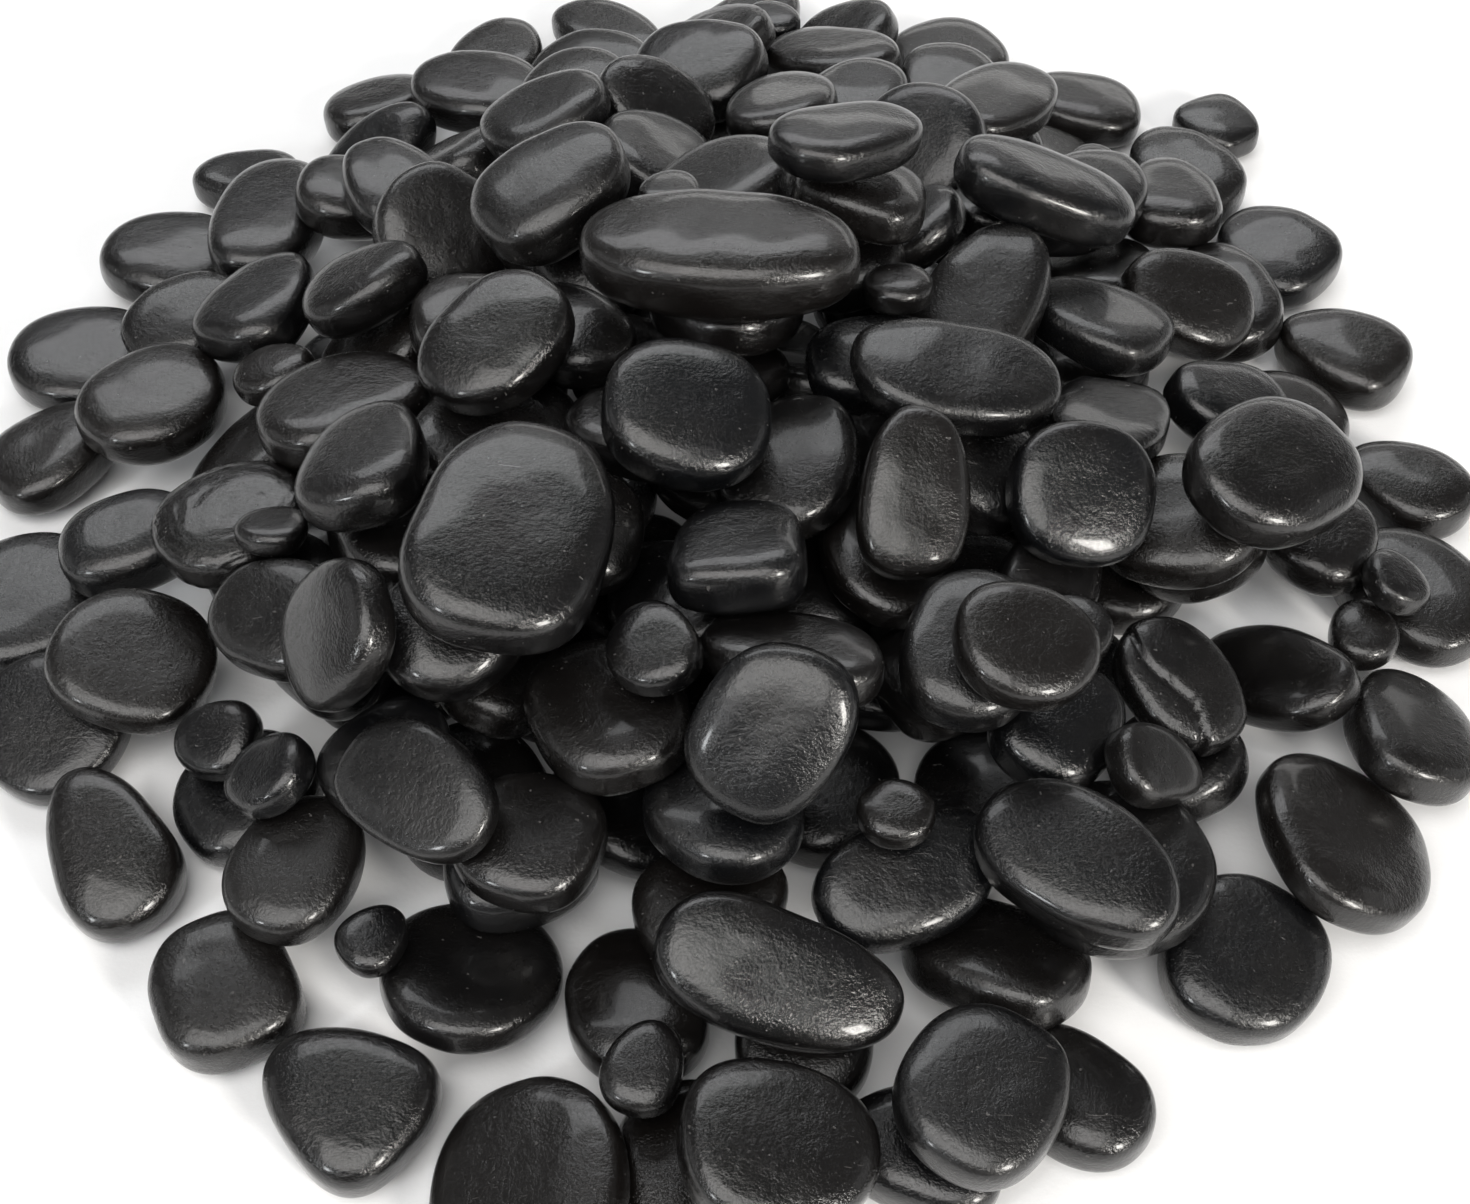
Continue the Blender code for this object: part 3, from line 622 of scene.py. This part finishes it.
def finished_piece(name, stones, shift, material):
    shell = bmesh.new()
    for attribute in ("tone", "sheen"):
        shell.verts.layers.float.new(attribute)
    for stone in stones:
        add_pebble(shell, stone, shift, PLAIN if stone.name.startswith(("bed", "fill")) else FINE)
    mesh = bpy.data.meshes.new(name)
    shell.to_mesh(mesh)
    shell.free()
    mesh.materials.append(material)
    mesh.shade_smooth()
    piece = bpy.data.objects.new(name, mesh)
    bpy.context.scene.collection.objects.link(piece)
    return piece


def heap_shift(heap):
    """From the middle of the laying to the frame's middle, by one stone's box in the frame."""
    name = next(iter(LOOSE_PLAN))
    stone = next(stone for stone in heap.stones if stone.name == name)
    return np.array(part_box(name)[0]) / MM - stone.laid(stone.solid).min(axis=0)


def node_surfaces(names):
    """The frame's nodes as trees that tell how far a point is from them."""
    surfaces = {}
    for name in names:
        mesh = frame["nodes"][name].data
        corners = [vert.co.copy() for vert in mesh.vertices]
        surfaces[name] = BVHTree.FromPolygons(corners, [list(face.vertices) for face in mesh.polygons])
    return surfaces


def node_of(stone, surfaces, shift):
    """The node that the stone's plain solid belongs to: the one its corners lie on."""
    corners = [Vector(corner) for corner in (stone.laid(stone.solid) + shift) * MM]

    def misfit(name):
        return sum(surfaces[name].find_nearest(corner)[3] for corner in corners[::3])
    return min(surfaces, key=misfit)


def finish_stones(material):
    heap = lay_heap()
    shift = heap_shift(heap)
    bodies = {node: body for body, nodes in frame["record"]["behaviour"]["bodies"].items()
              for node in nodes}
    surfaces = node_surfaces([node for node in bodies if node not in LOOSE_PLAN])
    groups = {node: [] for node in bodies}
    for stone in heap.stones:
        node = stone.name if stone.name in LOOSE_PLAN else node_of(stone, surfaces, shift)
        groups[node].append(stone)
    for node, stones in groups.items():
        piece = finished_piece(node + "_polished", stones, shift, material)
        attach(piece, bodies[node])
        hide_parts(node)


# ---- materials ----
class Value:
    """A socket's value, which Python's operators turn into Math nodes."""

    def __init__(self, tree, socket):
        self.tree = tree
        self.socket = socket

    def math(self, operation, *values):
        return self.tree.node("ShaderNodeMath", {"operation": operation}, *values)

    def __add__(self, other):
        return self.math("ADD", self, other)

    def __sub__(self, other):
        return self.math("SUBTRACT", self, other)

    def __rsub__(self, other):
        return self.math("SUBTRACT", other, self)

    def __mul__(self, other):
        return self.math("MULTIPLY", self, other)

    __radd__ = __add__
    __rmul__ = __mul__

    def step(self, low, high):
        """0 below low, 1 above high, smooth between."""
        settings = {"interpolation_type": "SMOOTHSTEP", "clamp": True}
        return self.tree.node("ShaderNodeMapRange", settings, self, low, high, 0.0, 1.0)


class Tree:
    """A material's node tree."""

    def __init__(self, name):
        self.material = bpy.data.materials.new(name)
        self.material.use_nodes = True
        self.nodes = self.material.node_tree.nodes
        self.links = self.material.node_tree.links
        self.shader = self.nodes["Principled BSDF"]
        self.place = self.node("ShaderNodeTexCoord", {}, output="Object")

    def node(self, kind, settings, *values, output=0, **named):
        """A node with its settings first, then its sockets, by order or by name."""
        made = self.nodes.new(kind)
        for key, setting in settings.items():
            setattr(made, key, setting)
        for key, value in list(enumerate(values)) + list(named.items()):
            self.feed(made.inputs[key], value)
        return Value(self, made.outputs[output])

    def feed(self, socket, value):
        if isinstance(value, Value):
            self.links.new(value.socket, socket)
        else:
            socket.default_value = value

    def finish(self, **values):
        """Feed the shader's sockets, whose names are written with underscores."""
        for key, value in values.items():
            self.feed(self.shader.inputs[key.replace("_", " ")], value)
        return self.material

    def noise(self, scale, detail=2.0, roughness=0.5, at=None):
        named = {"Vector": at or self.place, "Scale": scale, "Detail": detail, "Roughness": roughness}
        return self.node("ShaderNodeTexNoise", {}, output="Fac", **named)

    def mix(self, share, low, high):
        """A colour between two colours."""
        made = self.nodes.new("ShaderNodeMix")
        made.data_type = "RGBA"
        for key, value in ((0, share), (6, low), (7, high)):
            self.feed(made.inputs[key], value)
        return Value(self, made.outputs[2])

    def bump(self, height, distance, strength, below=None):
        named = {"Height": height, "Distance": distance, "Strength": strength}
        if below:
            named["Normal"] = below
        return self.node("ShaderNodeBump", {}, output="Normal", **named)

    def attribute(self, name):
        return self.node("ShaderNodeAttribute", {"attribute_name": name}, output="Fac")


def polished_basalt():
    """Near-black stone, tumbled and waxed, with a fine grain, small pits and faint scratches."""
    tree = Tree("polished_basalt")
    tone = tree.attribute("tone")
    sheen = tree.attribute("sheen")
    cloud = tree.noise(55.0, 3.0)
    grain = tree.noise(900.0, 3.0, 0.6)
    leather = tree.noise(1900.0, 2.0, 0.6)
    peel = tree.noise(210.0, 2.0)
    pits = tree.noise(620.0, 1.0).step(0.74, 0.80)
    stretched = tree.node("ShaderNodeMapping", {}, Vector=tree.place, Rotation=(0.4, 0.7, 0.9),
                          Scale=(1.0, 26.0, 9.0))
    hairs = tree.noise(58.0, 1.0, 0.5, at=stretched).step(0.745, 0.765) * tree.noise(24.0).step(0.52, 0.60)
    dark = tree.mix(tone, (0.0028, 0.0031, 0.0037, 1.0), (0.0052, 0.0043, 0.0038, 1.0))
    colour = tree.mix(cloud.step(0.40, 0.72) * 0.6, dark, (0.0075, 0.0068, 0.0064, 1.0))
    colour = tree.mix(pits * 0.30 + hairs * 0.22, colour, (0.16, 0.15, 0.145, 1.0))
    roughness = 0.29 - sheen * 0.10 + (cloud - 0.5) * 0.12 + (grain - 0.5) * 0.14 + pits * 0.15
    surface = tree.bump(peel, 0.0010, 0.30)
    surface = tree.bump(grain, 0.00040, 0.50, surface)
    surface = tree.bump(leather - pits * 0.8, 0.00022, 0.60, surface)
    return tree.finish(Base_Color=colour, Roughness=roughness, Normal=surface,
                       Coat_Weight=0.45, Coat_Roughness=0.11, Coat_IOR=1.42, IOR=1.5)


def white_board():
    tree = Tree("white_board")
    weave = tree.noise(700.0, 2.0)
    return tree.finish(Base_Color=(0.90, 0.90, 0.905, 1.0), Roughness=0.62,
                       Emission_Color=(1.0, 1.0, 1.0, 1.0), Emission_Strength=0.02,
                       Normal=tree.bump(weave, 0.0004, 0.15))


# ---- floor, lights and camera ----
FLOOR_SIDE = 12.0
CAMERA_PLACE = (0.0059, -0.4350, 0.4700)
CAMERA_TILT = 40.0          # degrees up from straight down
CAMERA_LENS = 51.4


def floor():
    shell = bmesh.new()
    bmesh.ops.create_grid(shell, x_segments=1, y_segments=1, size=FLOOR_SIDE / 2)
    mesh = bpy.data.meshes.new("floor")
    shell.to_mesh(mesh)
    shell.free()
    mesh.materials.append(white_board())
    item = bpy.data.objects.new("floor", mesh)
    bpy.context.scene.collection.objects.link(item)


def window(name, way, distance, size, radiance, colour=(1.0, 1.0, 1.0)):
    """A soft light seen from the heap in a direction, with the brightness that it shows."""
    lamp = bpy.data.lights.new(name, "AREA")
    lamp.shape = "RECTANGLE"
    lamp.size, lamp.size_y = size
    lamp.energy = radiance * math.pi * size[0] * size[1]
    lamp.color = colour
    item = bpy.data.objects.new(name, lamp)
    item.location = Vector(way).normalized() * distance
    item.rotation_euler = item.location.to_track_quat("Z", "Y").to_euler()
    bpy.context.scene.collection.objects.link(item)


def studio():
    floor()
    window("front_window", (-0.18, -0.42, 0.89), 2.0, (1.8, 1.35), 4.2, (1.0, 0.985, 0.965))
    window("back_window", (-0.12, 0.70, 0.76), 2.0, (2.0, 0.66), 4.0, (0.97, 0.985, 1.0))
    window("right_glint", (0.57, -0.69, 0.47), 2.0, (0.36, 0.50), 52.0, (1.0, 0.97, 0.92))
    window("left_glint", (-0.62, -0.64, 0.46), 2.0, (0.20, 0.30), 34.0, (0.95, 0.98, 1.0))
    window("rim_strip", (0.30, 0.92, 0.26), 2.2, (2.0, 0.3), 2.4, (1.0, 0.99, 0.97))
    window("right_side", (0.92, 0.0, 0.40), 2.2, (1.2, 0.7), 0.7)
    window("left_side", (-0.92, 0.0, 0.40), 2.2, (1.2, 0.7), 0.7)
    world = bpy.data.worlds.new("studio")
    world.use_nodes = True
    world.node_tree.nodes["Background"].inputs["Color"].default_value = (1.0, 1.0, 1.0, 1.0)
    world.node_tree.nodes["Background"].inputs["Strength"].default_value = 0.10
    bpy.context.scene.world = world
    lens = bpy.data.cameras.new("camera")
    lens.lens = CAMERA_LENS
    lens.sensor_width = 36.0
    camera = bpy.data.objects.new("camera", lens)
    camera.location = CAMERA_PLACE
    camera.rotation_euler = (math.radians(CAMERA_TILT), 0.0, 0.0)
    bpy.context.scene.collection.objects.link(camera)
    bpy.context.scene.camera = camera
    bpy.context.scene.view_settings.view_transform = "Standard"


finish_stones(polished_basalt())
studio()
